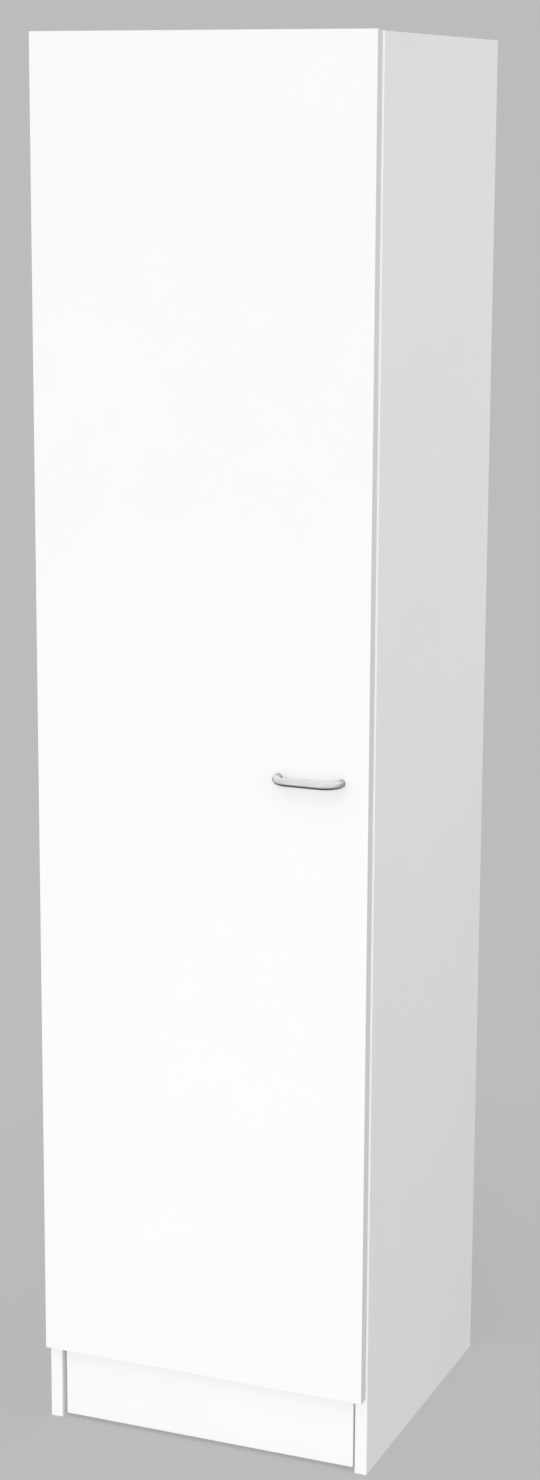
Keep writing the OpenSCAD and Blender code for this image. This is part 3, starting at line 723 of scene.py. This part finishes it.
def make_bumpers():
    """Draws the bumpers on the door's inside."""
    mesh = bmesh.new()
    for low, high in solids("door_bumpers"):
        size = high - low
        first = len(mesh.verts)
        draw_bumper(mesh, size.x / 2, size.y)
        put(mesh, first, middle(low, high, y=low.y), Vector((0, 1, 0)))
    replace_node("door_bumpers", mesh)


def soften(name, width):
    """Breaks the sharp edges of a CAD node's pressed or cast metal."""
    node = nodes[name]
    node.modifiers.new("weld", "WELD").merge_threshold = WELD * MM
    flat = node.modifiers.new("flat", "DECIMATE")
    flat.decimate_type = "DISSOLVE"
    flat.angle_limit = FLAT_BELOW
    edge = node.modifiers.new("edge", "BEVEL")
    edge.width = width
    edge.segments = BREAK_SEGMENTS
    edge.limit_method = "ANGLE"
    edge.angle_limit = BREAK_ABOVE
    node.modifiers.new("shade", "WEIGHTED_NORMAL").keep_sharp = False


def soften_metal():
    """Softens the hinges and the wall brackets."""
    hinges = [*numbered("hinge_plate"), *numbered("hinge_arm"), *numbered("hinge_cup")]
    for name in [*hinges, "wall_bracket_left", "wall_bracket_right"]:
        soften(name, EDGE_BREAK * MM)


def backdrop_share(tree):
    """1 for rays that show the background: from the camera, a mirror or a clear body."""
    path = tree.nodes.new("ShaderNodeLightPath")
    share = path.outputs["Is Camera Ray"]
    for name in ("Is Glossy Ray", "Is Transmission Ray"):
        either = tree.nodes.new("ShaderNodeMath")
        either.operation = "MAXIMUM"
        tree.links.new(share, either.inputs[0])
        tree.links.new(path.outputs[name], either.inputs[1])
        share = either.outputs[0]
    return share


def make_world():
    """An even sky: one level lights the cupboard, another is what the camera sees."""
    world = bpy.data.worlds.new("studio")
    bpy.context.scene.world = world
    world.use_nodes = True
    tree = world.node_tree
    light = tree.nodes["Background"]
    light.inputs["Color"].default_value = (*SKY_TINT, 1)
    light.inputs["Strength"].default_value = SKY_LEVEL
    shown = tree.nodes.new("ShaderNodeBackground")
    shown.inputs["Color"].default_value = (BACKDROP, BACKDROP, BACKDROP, 1)
    mix = tree.nodes.new("ShaderNodeMixShader")
    tree.links.new(backdrop_share(tree), mix.inputs["Fac"])
    tree.links.new(light.outputs[0], mix.inputs[1])
    tree.links.new(shown.outputs[0], mix.inputs[2])
    tree.links.new(mix.outputs[0], tree.nodes["World Output"].inputs["Surface"])


def make_floor():
    """A pale floor that keeps the shadow near the cupboard and fades into the backdrop."""
    corners = [(x * FLOOR_HALF, y * FLOOR_HALF, 0) for x, y in ((-1, -1), (1, -1), (1, 1), (-1, 1))]
    mesh = bpy.data.meshes.new("floor")
    mesh.from_pydata(corners, [], [(0, 1, 2, 3)])
    floor = bpy.data.objects.new("floor", mesh)
    bpy.context.scene.collection.objects.link(floor)
    s = Shader("floor_look")
    length = s.add("ShaderNodeVectorMath", operation="LENGTH")
    s.join(s.place(), length.inputs[0])
    away = s.spread(length.outputs["Value"], FADE_LEAST, 1.0, FADE_FROM, FADE_TO)
    diffuse = s.add("ShaderNodeBsdfDiffuse")
    diffuse.inputs["Color"].default_value = (FLOOR_TONE, FLOOR_TONE, FLOOR_TONE, 1)
    glow = s.add("ShaderNodeEmission")
    glow.inputs["Color"].default_value = (BACKDROP, BACKDROP, BACKDROP, 1)
    mix = s.add("ShaderNodeMixShader")
    s.join(s.math("MULTIPLY", backdrop_share(s.tree), away), mix.inputs["Fac"])
    s.join(diffuse.outputs[0], mix.inputs[1])
    s.join(glow.outputs[0], mix.inputs[2])
    s.join(mix.outputs[0], s.output.inputs["Surface"])
    mesh.materials.append(s.material)


def outward(azimuth, elevation):
    """The direction from the cupboard to a light or camera at these angles."""
    return Vector((
        math.sin(azimuth) * math.cos(elevation),
        -math.cos(azimuth) * math.cos(elevation),
        math.sin(elevation),
    ))


def soft_lamp(name, across, power, place, target, spread):
    """A round soft lamp that points from its place at a target."""
    light = bpy.data.lights.new(name, "AREA")
    light.shape = "DISK"
    light.size = across
    light.energy = power
    light.spread = math.radians(spread)
    lamp = bpy.data.objects.new(name, light)
    lamp.location = place
    lamp.visible_camera = False
    lamp.rotation_mode = "QUATERNION"
    lamp.rotation_quaternion = (Vector(place) - Vector(target)).to_track_quat("Z", "Y")
    bpy.context.scene.collection.objects.link(lamp)


def make_lights():
    """A wide sun near the camera's direction, and three soft lamps."""
    sun = bpy.data.lights.new("sun", "SUN")
    sun.energy = SUN_LEVEL * math.pi
    sun.angle = SUN_SPREAD
    sun.color = SUN_TINT
    lamp = bpy.data.objects.new("sun", sun)
    lamp.visible_glossy = False
    lamp.rotation_mode = "QUATERNION"
    lamp.rotation_quaternion = outward(SUN_AZIMUTH, SUN_ELEVATION).to_track_quat("Z", "Y")
    bpy.context.scene.collection.objects.link(lamp)
    for name, settings in LAMPS.items():
        soft_lamp(name, *settings)


def make_camera():
    """The camera at the photo's view."""
    data = bpy.data.cameras.new("camera")
    data.sensor_width = SENSOR
    data.lens = FOCAL_PIXELS / PHOTO_HEIGHT * SENSOR
    data.clip_start = CLIP_NEAR
    data.clip_end = CLIP_FAR
    camera = bpy.data.objects.new("camera", data)
    back = outward(CAMERA_AZIMUTH, CAMERA_ELEVATION)
    turn = back.to_track_quat("Z", "Y") @ Matrix.Rotation(CAMERA_ROLL, 3, "Z").to_quaternion()
    camera.rotation_mode = "QUATERNION"
    camera.rotation_quaternion = turn
    camera.location = CAMERA_AT
    bpy.context.scene.collection.objects.link(camera)
    bpy.context.scene.camera = camera


dress_all()
make_screws()
make_covers()
make_bumpers()
soften_metal()
make_world()
make_floor()
make_lights()
make_camera()
bpy.context.scene.view_settings.view_transform = "Standard"
